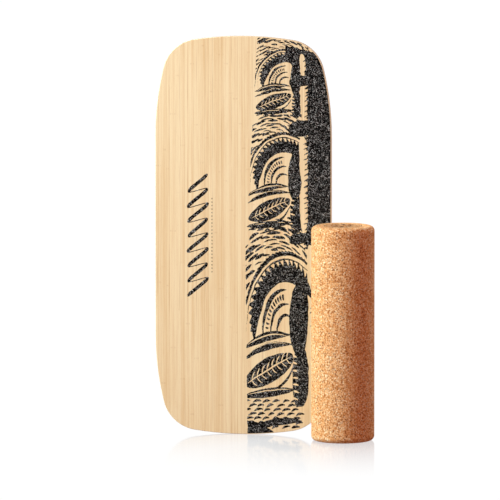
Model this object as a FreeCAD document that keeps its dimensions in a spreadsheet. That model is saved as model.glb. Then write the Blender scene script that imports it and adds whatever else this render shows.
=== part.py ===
import FreeCAD, Part
import math
import os

import Sketcher

# A roller balance board: a flat laminated deck that stands on its rounded end, and the cork
# roller that it is ridden on, which stands on its own end at the deck's lower right.
# The frame: +Z up along the deck, +X across it, the grip face looks along -Y, and the origin
# is at the middle of the pair's footprint.

# Driving dimensions, in millimetres.
SIZES = {
    # Deck outline: straight sides, long shoulder arcs, corner arcs and gently curved ends.
    "deck_length": 800.0,
    "deck_width": 353.0,
    "side_straight": 400.0,
    "shoulder_radius": 570.0,
    "corner_radius": 75.0,
    "end_radius": 650.0,
    # Lay-up: one bamboo face on each side of five maple core plies.
    "face_ply": 2.0,
    "core_ply": 1.6,
    "edge_round": 1.2,
    # Mineral grip printed on the top face.
    "grip_thickness": 0.5,
    "grip_margin": 1.5,
    "grip_border_top": 28.0,
    "grip_border_middle": 4.0,
    "grip_border_low": 8.0,
    "grip_border_height": -30.0,
    # Ornament printed left of the deck's middle: a column of slanted crescents.
    "ornament_offset": 91.5,
    "crescent_pitch": 30.0,
    "crescent_run": 23.5,
    "crescent_rise": 19.0,
    "crescent_outer": 7.2,
    "crescent_inner": 1.1,
    # Fine row of dashes beside the ornament.
    "dash_offset": 63.0,
    "dash_width": 1.6,
    "dash_length": 3.2,
    "dash_pitch": 7.0,
    # Stop rails screwed under the deck, each with a rubber bumper on its inner side.
    "rail_length": 240.0,
    "rail_width": 22.0,
    "rail_height": 14.0,
    "rail_inset": 92.0,
    "rail_round": 3.0,
    "bumper_length": 210.0,
    "bumper_thickness": 4.0,
    "bumper_height": 10.0,
    "bumper_round": 1.2,
    # Countersunk wood screws.
    "screw_pitch": 62.0,
    "screw_radius": 2.0,
    "screw_head_radius": 4.0,
    "screw_head_rim": 0.3,
    "screw_sink": 0.2,
    "screw_tip": 3.0,
    "screw_bite": 6.7,
    "screw_clearance": 0.05,
    "recess_arm": 1.9,
    "recess_half_width": 0.45,
    "recess_depth": 1.2,
    # Cork roller with a stamped emblem on its upper end.
    "roller_radius": 63.0,
    "roller_length": 430.0,
    "roller_round": 10.0,
    "ring_radius": 37.5,
    "ring_width": 1.6,
    "stamp_depth": 0.8,
    "petal_start": 7.0,
    "petal_end": 27.0,
    "petal_sag": 5.0,
    # Where the roller stands: right of the deck's middle, just clear of the grip face.
    "roller_offset": 206.0,
    "roller_gap": 1.0,
}

CORE_PLIES = 5
# Core plies that the screws reach, counted from the underside.
BITTEN_CORE_PLIES = 3
SCREWS_PER_RAIL = 4
CRESCENTS = 8
DASHES = 22
PETALS = 8
# Two heights nearer than this, in millimetres, are one plane.
SAME_PLANE = 1e-4

# Terms of the deck's thickness, as multiples of named sizes.
DECK_THICKNESS = {"face_ply": 2, "core_ply": CORE_PLIES}


def amount(terms):
    """The value in millimetres of a sum of named sizes, each times its factor."""
    return sum(factor * SIZES[name] for name, factor in terms.items())


def formula(terms):
    """The same sum as an expression on the spreadsheet."""
    return " + ".join(f"({factor}) * Sizes.{name}" for name, factor in terms.items()) or "0"


def plus(*sums):
    """One sum of named sizes from several."""
    total = {}
    for terms in sums:
        for name, factor in terms.items():
            total[name] = total.get(name, 0) + factor
    return total


def times(factor, terms):
    return {name: factor * value for name, value in terms.items()}


# The pair is centred on the origin, so the deck's middle and its grip face lie at these sums.
DECK_X = {"deck_width": 0.25, "roller_offset": -0.5, "roller_radius": -0.5}
FACE_Y = plus(
    {"roller_radius": 1, "roller_gap": 0.5, "grip_thickness": 0.5, "rail_height": -0.5},
    times(-0.5, DECK_THICKNESS),
)
MIDDLE_Z = {"deck_length": 0.5}
ROLLER_X = plus(DECK_X, {"roller_offset": 1})
ROLLER_Y = plus(FACE_Y, {"grip_thickness": -1, "roller_gap": -1, "roller_radius": -1})
BACK_Y = plus(FACE_Y, DECK_THICKNESS)
RAIL_FROM_MIDDLE = {"deck_length": 0.5, "rail_inset": -1}


def write_sheet(doc):
    sheet = doc.addObject("Spreadsheet::Sheet", "Sizes")
    for row, (name, value) in enumerate(SIZES.items(), start=1):
        sheet.set(f"A{row}", name)
        sheet.set(f"B{row}", str(value))
        sheet.setAlias(f"B{row}", name)
    doc.recompute()


def new_body(doc, label, x, y, z):
    """A body whose own origin lies at the sums x, y and z."""
    body = doc.addObject("PartDesign::Body", label)
    body.Label = label
    body.AllowCompound = True
    body.Placement.Base = FreeCAD.Vector(amount(x), amount(y), amount(z))
    for axis, terms in zip("xyz", (x, y, z)):
        body.setExpression(f"Placement.Base.{axis}", formula(terms))
    return body


def new_sketch(body, name, role, lift=None):
    """A sketch on one of the body's own origin planes, lifted along the plane's normal."""
    sketch = body.newObject("Sketcher::SketchObject", name)
    plane = next(item for item in body.Origin.OriginFeatures if item.Role == role)
    sketch.AttachmentSupport = (plane, [""])
    sketch.MapMode = "FlatFace"
    if lift:
        sketch.setExpression("AttachmentOffset.Base.z", formula(lift))
    return sketch


def bind(sketch, kind, where, terms):
    """A dimension of the sketch that follows the spreadsheet."""
    index = sketch.addConstraint(Sketcher.Constraint(kind, *where, amount(terms)))
    sketch.setExpression(f"Constraints[{index}]", formula(terms))


def place_point(sketch, geometry, end, x, y):
    """Hold one end of a piece of geometry at the sums x and y from the sketch's origin."""
    bind(sketch, "DistanceX", (-1, 1, geometry, end), x)
    bind(sketch, "DistanceY", (-1, 1, geometry, end), y)


def draw_polygon(sketch, corners):
    """A closed polygon through corners given as pairs of sums."""
    points = [FreeCAD.Vector(amount(x), amount(y), 0) for x, y in corners]
    lines = []
    for start, stop in zip(points, points[1:] + points[:1]):
        lines.append(sketch.addGeometry(Part.LineSegment(start, stop)))
    for line, following in zip(lines, lines[1:] + lines[:1]):
        sketch.addConstraint(Sketcher.Constraint("Coincident", line, 2, following, 1))
    for line, (x, y) in zip(lines, corners):
        place_point(sketch, line, 1, x, y)


def add_feature(body, kind, name, profile, **values):
    """A feature on a profile, with numbers set at once and sums bound to the spreadsheet."""
    feature = body.newObject(f"PartDesign::{kind}", name)
    feature.Profile = profile
    for key, value in values.items():
        if isinstance(value, dict):
            feature.setExpression(key, formula(value))
        else:
            setattr(feature, key, value)
    profile.Visibility = False
    return feature


def draw_arc(sketch, centre, radius, start, stop):
    circle = Part.Circle(FreeCAD.Vector(centre[0], centre[1], 0), FreeCAD.Vector(0, 0, 1), radius)
    return sketch.addGeometry(Part.ArcOfCircle(circle, start, stop))


def corner_centre(half_width, half_length, half_straight, shoulder, corner, end):
    """Centre of the arc that meets both the shoulder arc and the end arc smoothly."""
    end_centre = FreeCAD.Vector(0, half_length - end, 0)
    shoulder_centre = FreeCAD.Vector(half_width - shoulder, half_straight, 0)
    to_end, to_shoulder = end - corner, shoulder - corner
    apart = shoulder_centre - end_centre
    along = (to_end**2 - to_shoulder**2 + apart.Length**2) / (2 * apart.Length)
    across = math.sqrt(to_end**2 - along**2)
    direction = FreeCAD.Vector(apart).normalize()
    sideways = FreeCAD.Vector(-direction.y, direction.x, 0)
    found = [end_centre + direction * along + sideways * side * across for side in (1, -1)]
    return max(found, key=lambda point: point.x + point.y)


def draw_outline(sketch, margin):
    """The deck's outline, moved in by the sum margin: two straight sides and ten arcs."""
    width = plus({"deck_width": 1}, times(-2, margin))
    length = plus({"deck_length": 1}, times(-2, margin))
    shoulder, corner, end = (
        plus({name: 1}, times(-1, margin))
        for name in ("shoulder_radius", "corner_radius", "end_radius")
    )
    half_width, half_length = amount(width) / 2, amount(length) / 2
    half_straight = SIZES["side_straight"] / 2
    radii = amount(shoulder), amount(corner), amount(end)
    middle = corner_centre(half_width, half_length, half_straight, *radii)
    shoulder_x, end_y = half_width - radii[0], half_length - radii[2]
    low = math.atan2(middle.y - half_straight, middle.x - shoulder_x)
    high = math.atan2(middle.y - end_y, middle.x)
    turn = math.pi

    def side(sign):
        start = FreeCAD.Vector(sign * half_width, -sign * half_straight, 0)
        stop = FreeCAD.Vector(sign * half_width, sign * half_straight, 0)
        return sketch.addGeometry(Part.LineSegment(start, stop))

    # Anticlockwise from the right side, so that each piece ends where the next one starts.
    right = side(1)
    draw_arc(sketch, (shoulder_x, half_straight), radii[0], 0, low)
    draw_arc(sketch, (middle.x, middle.y), radii[1], low, high)
    top = draw_arc(sketch, (0, end_y), radii[2], high, turn - high)
    draw_arc(sketch, (-middle.x, middle.y), radii[1], turn - high, turn - low)
    draw_arc(sketch, (-shoulder_x, half_straight), radii[0], turn - low, turn)
    left = side(-1)
    draw_arc(sketch, (-shoulder_x, -half_straight), radii[0], turn, turn + low)
    draw_arc(sketch, (-middle.x, -middle.y), radii[1], turn + low, turn + high)
    bottom = draw_arc(sketch, (0, -end_y), radii[2], turn + high, 2 * turn - high)
    draw_arc(sketch, (middle.x, -middle.y), radii[1], 2 * turn - high, 2 * turn - low)
    last = draw_arc(sketch, (shoulder_x, -half_straight), radii[0], 2 * turn - low, 2 * turn)

    count = last + 1
    for piece in range(count):
        sketch.addConstraint(Sketcher.Constraint("Tangent", piece, 2, (piece + 1) % count, 1))
    shoulders, corners, ends = (1, 5, 7, 11), (2, 4, 8, 10), (top, bottom)
    for arcs, radius in ((shoulders, shoulder), (corners, corner), (ends, end)):
        for other in arcs[1:]:
            sketch.addConstraint(Sketcher.Constraint("Equal", arcs[0], other))
        bind(sketch, "Radius", (arcs[0],), radius)
    # The sides lie symmetrically about the sketch's axes, and the ends are centred.
    sketch.addConstraint(Sketcher.Constraint("Symmetric", right, 1, right, 2, -1))
    sketch.addConstraint(Sketcher.Constraint("Symmetric", right, 2, left, 1, -2))
    sketch.addConstraint(Sketcher.Constraint("Symmetric", right, 1, left, 2, -2))
    bind(sketch, "DistanceX", (left, 1, right, 2), width)
    bind(sketch, "DistanceY", (right, 1, right, 2), {"side_straight": 1})
    for arc, sign in ((top, 1), (bottom, -1)):
        sketch.addConstraint(Sketcher.Constraint("PointOnObject", arc, 3, -2))
        crown = sketch.addGeometry(Part.Point(FreeCAD.Vector(0, sign * half_length, 0)), True)
        sketch.addConstraint(Sketcher.Constraint("PointOnObject", crown, 1, -2))
        sketch.addConstraint(Sketcher.Constraint("PointOnObject", crown, 1, arc))
        bind(sketch, "DistanceY", (-1, 1, crown, 1), times(sign / 2, length))


def outer_edges(feature, height, perimeter_only=True):
    """Names of the edges that lie in the plane at this height along Y."""
    names = []
    for index, edge in enumerate(feature.Shape.Edges, start=1):
        box = edge.BoundBox
        if max(abs(box.YMin - height), abs(box.YMax - height)) < SAME_PLANE:
            closed_circle = edge.isClosed()
            if closed_circle != perimeter_only:
                names.append(f"Edge{index}")
    return names


def screw_places():
    """Sums for each screw's place across the deck, from the rail's middle."""
    first = -(SCREWS_PER_RAIL - 1) / 2
    return [{"screw_pitch": first + index} for index in range(SCREWS_PER_RAIL)]


def draw_screw_holes(sketch, radius, heights):
    """Circles for the screws of a rail at each height, all of the same radius."""
    circles = []
    for height in heights:
        for place in screw_places():
            centre = FreeCAD.Vector(amount(place), amount(height), 0)
            circle = Part.Circle(centre, FreeCAD.Vector(0, 0, 1), amount(radius))
            circles.append(sketch.addGeometry(circle))
            place_point(sketch, circles[-1], 3, place, height)
    for other in circles[1:]:
        sketch.addConstraint(Sketcher.Constraint("Equal", circles[0], other))
    bind(sketch, "Radius", (circles[0],), radius)


def make_ply(doc, label, thickness, front, rounded=None, drilled=False):
    """One sheet of the lay-up, front being the sum of the plies in front of it."""
    body = new_body(doc, label, DECK_X, plus(FACE_Y, front), MIDDLE_Z)
    outline = new_sketch(body, f"{label}_outline", "XZ_Plane")
    draw_outline(outline, {})
    pad = add_feature(body, "Pad", f"{label}_pad", outline, Length=thickness, Reversed=True)
    doc.recompute()
    if rounded:
        height = 0.0 if rounded == "front" else amount(thickness)
        fillet = body.newObject("PartDesign::Fillet", f"{label}_edge")
        fillet.Base = (pad, outer_edges(pad, height))
        fillet.setExpression("Radius", formula({"edge_round": 1}))
        doc.recompute()
    if drilled:
        holes = new_sketch(body, f"{label}_pilots", "XZ_Plane")
        radius = {"screw_radius": 1, "screw_clearance": 1}
        draw_screw_holes(holes, radius, (RAIL_FROM_MIDDLE, times(-1, RAIL_FROM_MIDDLE)))
        add_feature(body, "Pocket", f"{label}_drilling", holes, Type="ThroughAll", Midplane=True)
    return body


def make_plies(doc):
    """The laminate, from the bamboo top face to the bamboo underside."""
    face, core = {"face_ply": 1}, {"core_ply": 1}
    plies = [make_ply(doc, "top_ply", face, {}, rounded="front")]
    for number in range(1, CORE_PLIES + 1):
        front = plus(face, times(number - 1, core))
        drilled = number > CORE_PLIES - BITTEN_CORE_PLIES
        plies.append(make_ply(doc, f"core_ply_{number}", core, front, drilled=drilled))
    front = plus(face, times(CORE_PLIES, core))
    plies.append(make_ply(doc, "bottom_ply", face, front, rounded="back", drilled=True))
    return plies


def make_grip_field(doc):
    """The printed field on the right half, with its slightly bent left border."""
    body = new_body(doc, "grip_field", DECK_X, FACE_Y, MIDDLE_Z)
    outline = new_sketch(body, "grip_outline", "XZ_Plane")
    draw_outline(outline, {"grip_margin": 1})
    add_feature(body, "Pad", "grip_pad", outline, Length={"grip_thickness": 1})
    bare = new_sketch(body, "grip_bare_side", "XZ_Plane")
    far_left, far_up = {"deck_width": -1}, {"deck_length": 0.5}
    corners = [
        (far_left, times(-1, far_up)),
        ({"grip_border_low": 1}, times(-1, far_up)),
        ({"grip_border_middle": 1}, {"grip_border_height": 1}),
        ({"grip_border_top": 1}, far_up),
        (far_left, far_up),
    ]
    draw_polygon(bare, corners)
    add_feature(body, "Pocket", "grip_bare_cut", bare, Type="ThroughAll", Midplane=True)
    return body


def repeat(body, feature, sketch, axis, occurrences, length):
    """A row of copies of a feature along one of its sketch's axes."""
    pattern = body.newObject("PartDesign::LinearPattern", f"{feature.Name}_row")
    pattern.Originals = [feature]
    pattern.Direction = (sketch, [axis])
    pattern.Occurrences = occurrences
    pattern.setExpression("Length", formula(length))
    body.Tip = pattern
    return pattern


def draw_bow(sketch, start, stop, sag):
    """An arc from start to stop, given as pairs of sums, that bulges by sag to their right."""
    ends = [FreeCAD.Vector(amount(x), amount(y), 0) for x, y in (start, stop)]
    chord = ends[1] - ends[0]
    crown, half = amount({sag: 1}), chord.Length / 2
    radius = (half**2 + crown**2) / (2 * crown)
    left = FreeCAD.Vector(-chord.y, chord.x, 0).normalize()
    centre = (ends[0] + ends[1]) / 2 + left * (radius - crown)
    turns = [math.atan2(end.y - centre.y, end.x - centre.x) for end in ends]
    if turns[1] < turns[0]:
        turns[1] += 2 * math.pi
    arc = draw_arc(sketch, (centre.x, centre.y), radius, *turns)
    index = sketch.addConstraint(Sketcher.Constraint("Radius", arc, radius))
    legs = [formula(plus(stop[axis], times(-1, start[axis]))) for axis in (0, 1)]
    squares = " + ".join(f"({leg}) * ({leg}) / 4" for leg in legs)
    radius_formula = f"({squares} + Sizes.{sag} * Sizes.{sag}) / (2 * Sizes.{sag})"
    sketch.setExpression(f"Constraints[{index}]", radius_formula)
    return arc


def make_ornament(doc):
    """A column of slanted crescents, each thin at both tips."""
    low = plus(MIDDLE_Z, {"crescent_pitch": -(CRESCENTS - 1) / 2})
    across = plus(DECK_X, {"ornament_offset": -1})
    body = new_body(doc, "grip_ornament", across, FACE_Y, low)
    sketch = new_sketch(body, "crescent", "XZ_Plane")
    run, rise = {"crescent_run": 1}, {"crescent_rise": 1}
    tips = [(times(sign, run), times(sign, rise)) for sign in (1, -1)]
    outer, inner = (draw_bow(sketch, *tips, sag) for sag in ("crescent_outer", "crescent_inner"))
    for end, tip in zip((1, 2), tips):
        place_point(sketch, outer, end, *tip)
        sketch.addConstraint(Sketcher.Constraint("Coincident", outer, end, inner, end))
    pad = add_feature(body, "Pad", "crescent_pad", sketch, Length={"grip_thickness": 1})
    repeat(body, pad, sketch, "V_Axis", CRESCENTS, {"crescent_pitch": CRESCENTS - 1})
    return body


def rectangle_corners(half_width, half_height):
    signs = ((-1, -1), (1, -1), (1, 1), (-1, 1))
    return [(times(x, half_width), times(y, half_height)) for x, y in signs]


def make_dash_row(doc):
    """A fine row of short dashes beside the ornament."""
    low = plus(MIDDLE_Z, {"dash_pitch": -(DASHES - 1) / 2})
    body = new_body(doc, "grip_dash_row", plus(DECK_X, {"dash_offset": -1}), FACE_Y, low)
    sketch = new_sketch(body, "dash", "XZ_Plane")
    draw_polygon(sketch, rectangle_corners({"dash_width": 0.5}, {"dash_length": 0.5}))
    pad = add_feature(body, "Pad", "dash_pad", sketch, Length={"grip_thickness": 0.5})
    repeat(body, pad, sketch, "V_Axis", DASHES, {"dash_pitch": DASHES - 1})
    return body


def rail_height_z(end):
    """Height of the rail's middle, for end +1 at the top and -1 at the bottom."""
    return plus(MIDDLE_Z, times(end, RAIL_FROM_MIDDLE))


def make_stop_rail(doc, label, end):
    """A round-ended hardwood rail with countersunk screw holes."""
    body = new_body(doc, label, DECK_X, BACK_Y, rail_height_z(end))
    outline = new_sketch(body, f"{label}_outline", "XZ_Plane")
    half, radius = {"rail_length": 0.5, "rail_width": -0.5}, {"rail_width": 0.5}
    reach, wide = amount(half), amount(radius)
    ends = [
        draw_arc(outline, (reach, 0), wide, -math.pi / 2, math.pi / 2),
        draw_arc(outline, (-reach, 0), wide, math.pi / 2, 3 * math.pi / 2),
    ]
    for sign, arc in ((1, ends[0]), (-1, ends[1])):
        start = FreeCAD.Vector(sign * reach, sign * wide, 0)
        stop = FreeCAD.Vector(-sign * reach, sign * wide, 0)
        line = outline.addGeometry(Part.LineSegment(start, stop))
        other = ends[1] if arc == ends[0] else ends[0]
        outline.addConstraint(Sketcher.Constraint("Tangent", arc, 2, line, 1))
        outline.addConstraint(Sketcher.Constraint("Tangent", line, 2, other, 1))
    for sign, arc in ((1, ends[0]), (-1, ends[1])):
        bind(outline, "DistanceX", (-1, 1, arc, 3), times(sign, half))
        outline.addConstraint(Sketcher.Constraint("PointOnObject", arc, 3, -1))
    bind(outline, "Radius", (ends[0],), radius)
    height = {"rail_height": 1}
    pad = add_feature(body, "Pad", f"{label}_pad", outline, Length=height, Reversed=True)
    doc.recompute()
    fillet = body.newObject("PartDesign::Fillet", f"{label}_rounding")
    fillet.Base = (pad, outer_edges(pad, amount(height)))
    fillet.setExpression("Radius", formula({"rail_round": 1}))
    holes = new_sketch(body, f"{label}_holes", "XZ_Plane")
    draw_screw_holes(holes, {"screw_radius": 1, "screw_clearance": 1}, ({},))
    drill = add_feature(
        body, "Pocket", f"{label}_drilling", holes, Type="ThroughAll", Midplane=True
    )
    doc.recompute()
    sink = body.newObject("PartDesign::Chamfer", f"{label}_countersinks")
    sink.Base = (drill, outer_edges(drill, amount(height), perimeter_only=False))
    depth = {"screw_head_radius": 1, "screw_radius": -1, "screw_head_rim": 1, "screw_sink": 1}
    sink.setExpression("Size", formula(depth))
    return body


def make_bumper(doc, label, end):
    """A rubber strip along the rail's inner side, which the roller runs up against."""
    half_thickness = {"bumper_thickness": 0.5}
    inward = plus({"rail_width": 0.5}, half_thickness)
    height = plus(rail_height_z(end), times(-end, inward))
    body = new_body(doc, label, DECK_X, BACK_Y, height)
    outline = new_sketch(body, f"{label}_outline", "XZ_Plane")
    draw_polygon(outline, rectangle_corners({"bumper_length": 0.5}, half_thickness))
    tall = {"bumper_height": 1}
    pad = add_feature(body, "Pad", f"{label}_pad", outline, Length=tall, Reversed=True)
    doc.recompute()
    fillet = body.newObject("PartDesign::Fillet", f"{label}_rounding")
    fillet.Base = (pad, outer_edges(pad, amount(tall)))
    fillet.setExpression("Radius", formula({"bumper_round": 1}))
    return body


def make_screws(doc, label, end):
    """The row of countersunk screws that holds one rail, with cross recesses."""
    first = plus(DECK_X, screw_places()[0])
    tip = plus(BACK_Y, {"screw_bite": -1})
    body = new_body(doc, label, first, tip, rail_height_z(end))
    profile = new_sketch(body, f"{label}_profile", "XY_Plane")
    shank, head = {"screw_radius": 1}, {"screw_head_radius": 1}
    top = {"screw_bite": 1, "rail_height": 1, "screw_sink": -1}
    rim = plus(top, {"screw_head_rim": -1})
    neck = plus(rim, times(-1, head), shank)
    corners = [
        ({}, {}),
        (shank, {"screw_tip": 1}),
        (shank, neck),
        (head, rim),
        (head, top),
        ({}, top),
    ]
    draw_polygon(profile, corners)
    axis = (profile, ["V_Axis"])
    turned = add_feature(body, "Revolution", f"{label}_turned", profile, ReferenceAxis=axis)
    doc.recompute()
    # The recess is cut down from the head's top, along -Y, by a sketch lifted to that height.
    recess = new_sketch(body, f"{label}_recess", "XZ_Plane", lift=times(-1, top))
    arm, half = {"recess_arm": 1}, {"recess_half_width": 1}
    plus_sign = []
    for quarter in range(4):
        for x, y in ((half, half), (half, arm), (times(-1, half), arm)):
            for _ in range(quarter):
                x, y = times(-1, y), x
            plus_sign.append((x, y))
    draw_polygon(recess, plus_sign)
    cross = add_feature(
        body, "Pocket", f"{label}_cross", recess, Length={"recess_depth": 1}, Reversed=True
    )
    row = body.newObject("PartDesign::LinearPattern", f"{label}_row")
    row.Originals = [turned, cross]
    row.Direction = (profile, ["H_Axis"])
    row.Occurrences = SCREWS_PER_RAIL
    row.setExpression("Length", formula({"screw_pitch": SCREWS_PER_RAIL - 1}))
    body.Tip = row
    return body


def draw_roller_profile(sketch):
    """Half of the roller's section, with its rounded rims."""
    radius, length, rim = SIZES["roller_radius"], SIZES["roller_length"], SIZES["roller_round"]
    corners = [(0, 0), (radius - rim, 0), (radius, rim), (radius, length - rim)]
    corners += [(radius - rim, length), (0, length)]
    points = [FreeCAD.Vector(x, y, 0) for x, y in corners]
    foot = sketch.addGeometry(Part.LineSegment(points[0], points[1]))
    low = draw_arc(sketch, (radius - rim, rim), rim, -math.pi / 2, 0)
    wall = sketch.addGeometry(Part.LineSegment(points[2], points[3]))
    high = draw_arc(sketch, (radius - rim, length - rim), rim, 0, math.pi / 2)
    lid = sketch.addGeometry(Part.LineSegment(points[4], points[5]))
    middle = sketch.addGeometry(Part.LineSegment(points[5], points[0]))
    for first, second in ((foot, low), (low, wall), (wall, high), (high, lid)):
        sketch.addConstraint(Sketcher.Constraint("Tangent", first, 2, second, 1))
    sketch.addConstraint(Sketcher.Constraint("Coincident", lid, 2, middle, 1))
    sketch.addConstraint(Sketcher.Constraint("Coincident", middle, 2, foot, 1))
    sketch.addConstraint(Sketcher.Constraint("Coincident", foot, 1, -1, 1))
    sketch.addConstraint(Sketcher.Constraint("Vertical", middle))
    sketch.addConstraint(Sketcher.Constraint("Horizontal", foot))
    sketch.addConstraint(Sketcher.Constraint("Vertical", wall))
    sketch.addConstraint(Sketcher.Constraint("Horizontal", lid))
    bind(sketch, "Radius", (low,), {"roller_round": 1})
    sketch.addConstraint(Sketcher.Constraint("Equal", low, high))
    bind(sketch, "DistanceX", (-1, 1, wall, 1), {"roller_radius": 1})
    bind(sketch, "DistanceY", (-1, 1, lid, 2), {"roller_length": 1})


def make_roller(doc):
    """The solid cork roller, with a ring and a rosette of petals stamped in its upper end."""
    body = new_body(doc, "roller_cork", ROLLER_X, ROLLER_Y, {})
    profile = new_sketch(body, "roller_profile", "XZ_Plane")
    draw_roller_profile(profile)
    axis = (profile, ["V_Axis"])
    add_feature(body, "Revolution", "roller_turned", profile, ReferenceAxis=axis)
    doc.recompute()
    ring = new_sketch(body, "ring_profile", "XZ_Plane")
    half, depth = {"ring_width": 0.5}, {"stamp_depth": 1}
    inner, outer = (plus({"ring_radius": 1}, times(sign, half)) for sign in (-1, 1))
    top = {"roller_length": 1}
    floor, above = plus(top, times(-1, depth)), plus(top, depth)
    draw_polygon(ring, [(inner, floor), (outer, floor), (outer, above), (inner, above)])
    ring_axis = (ring, ["V_Axis"])
    add_feature(body, "Groove", "ring_groove", ring, ReferenceAxis=ring_axis)
    doc.recompute()
    petal = new_sketch(body, "petal", "XY_Plane", lift=top)
    tips = [({"petal_end": 1}, {}), ({"petal_start": 1}, {})]
    upper = draw_bow(petal, tips[0], tips[1], "petal_sag")
    lower = draw_bow(petal, tips[1], tips[0], "petal_sag")
    for end, tip in zip((1, 2), tips):
        place_point(petal, upper, end, *tip)
        petal.addConstraint(Sketcher.Constraint("Coincident", upper, end, lower, 3 - end))
    stamp = add_feature(body, "Pocket", "petal_stamp", petal, Length=depth)
    rosette = body.newObject("PartDesign::PolarPattern", "petal_rosette")
    rosette.Originals = [stamp]
    rosette.Axis = (petal, ["N_Axis"])
    rosette.Angle = 360
    rosette.Occurrences = PETALS
    body.Tip = rosette
    return body


def build(doc):
    parts = make_plies(doc)
    parts += [make_grip_field(doc), make_ornament(doc), make_dash_row(doc)]
    for place, end in (("upper", 1), ("lower", -1)):
        parts.append(make_stop_rail(doc, f"stop_rail_{place}", end))
        parts.append(make_bumper(doc, f"bumper_strip_{place}", end))
        parts.append(make_screws(doc, f"rail_screws_{place}", end))
    parts.append(make_roller(doc))
    return parts


def check(doc, parts):
    """Stop if anything in the document failed, or a part has no valid shape."""
    for item in doc.Objects:
        if {"Invalid", "Error"} & set(item.State):
            raise RuntimeError(f"{item.Label} failed: {item.State}")
    for part in parts:
        if part.Shape.isNull() or not part.Shape.isValid():
            raise RuntimeError(f"{part.Label} has no valid shape")


def main():
    doc = FreeCAD.newDocument("balance_board")
    write_sheet(doc)
    parts = build(doc)
    doc.recompute()
    check(doc, parts)
    os.makedirs("parts", exist_ok=True)
    for part in parts:
        shape = part.Shape
        shape.exportStep(f"parts/{part.Label}.step")
        box = shape.BoundBox
        print(
            f"{part.Label}: {len(shape.Solids)} solids, {shape.Volume / 1000:.2f} cm3, "
            f"x {box.XMin:.2f} {box.XMax:.2f}, y {box.YMin:.2f} {box.YMax:.2f}, "
            f"z {box.ZMin:.2f} {box.ZMax:.2f}"
        )


main()
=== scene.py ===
import math

import bpy
import numpy as np
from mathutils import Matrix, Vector, geometry


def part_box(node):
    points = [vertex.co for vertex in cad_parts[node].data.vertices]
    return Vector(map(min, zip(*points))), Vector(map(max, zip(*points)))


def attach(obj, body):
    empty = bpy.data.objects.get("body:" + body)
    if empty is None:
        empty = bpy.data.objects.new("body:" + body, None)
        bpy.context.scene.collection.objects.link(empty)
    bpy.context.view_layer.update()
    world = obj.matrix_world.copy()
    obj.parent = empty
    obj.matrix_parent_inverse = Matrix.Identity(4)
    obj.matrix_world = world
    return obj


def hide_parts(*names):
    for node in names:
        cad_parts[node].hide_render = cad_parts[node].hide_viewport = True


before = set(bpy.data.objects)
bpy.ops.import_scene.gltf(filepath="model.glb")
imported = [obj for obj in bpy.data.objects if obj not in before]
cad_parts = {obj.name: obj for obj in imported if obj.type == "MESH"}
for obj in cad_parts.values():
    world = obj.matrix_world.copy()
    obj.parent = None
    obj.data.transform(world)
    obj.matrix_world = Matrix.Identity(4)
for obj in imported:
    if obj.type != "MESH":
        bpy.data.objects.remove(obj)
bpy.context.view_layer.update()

MM = 0.001
LOW, HIGH = 0, 1
X, Y, Z = 0, 1, 2

# Where things are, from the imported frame
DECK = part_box("top_ply")
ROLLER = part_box("roller_cork")
FACE_Y = DECK[LOW][Y]
DECK_X = (DECK[LOW][X] + DECK[HIGH][X]) / 2
DECK_Z = (DECK[LOW][Z] + DECK[HIGH][Z]) / 2
ROLLER_AXIS = ((ROLLER[LOW][X] + ROLLER[HIGH][X]) / 2, (ROLLER[LOW][Y] + ROLLER[HIGH][Y]) / 2)
ROLLER_RADIUS = (ROLLER[HIGH][X] - ROLLER[LOW][X]) / 2
ROLLER_LENGTH = ROLLER[HIGH][Z] - ROLLER[LOW][Z]


# ---------------------------------------------------------------- Node materials


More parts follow.
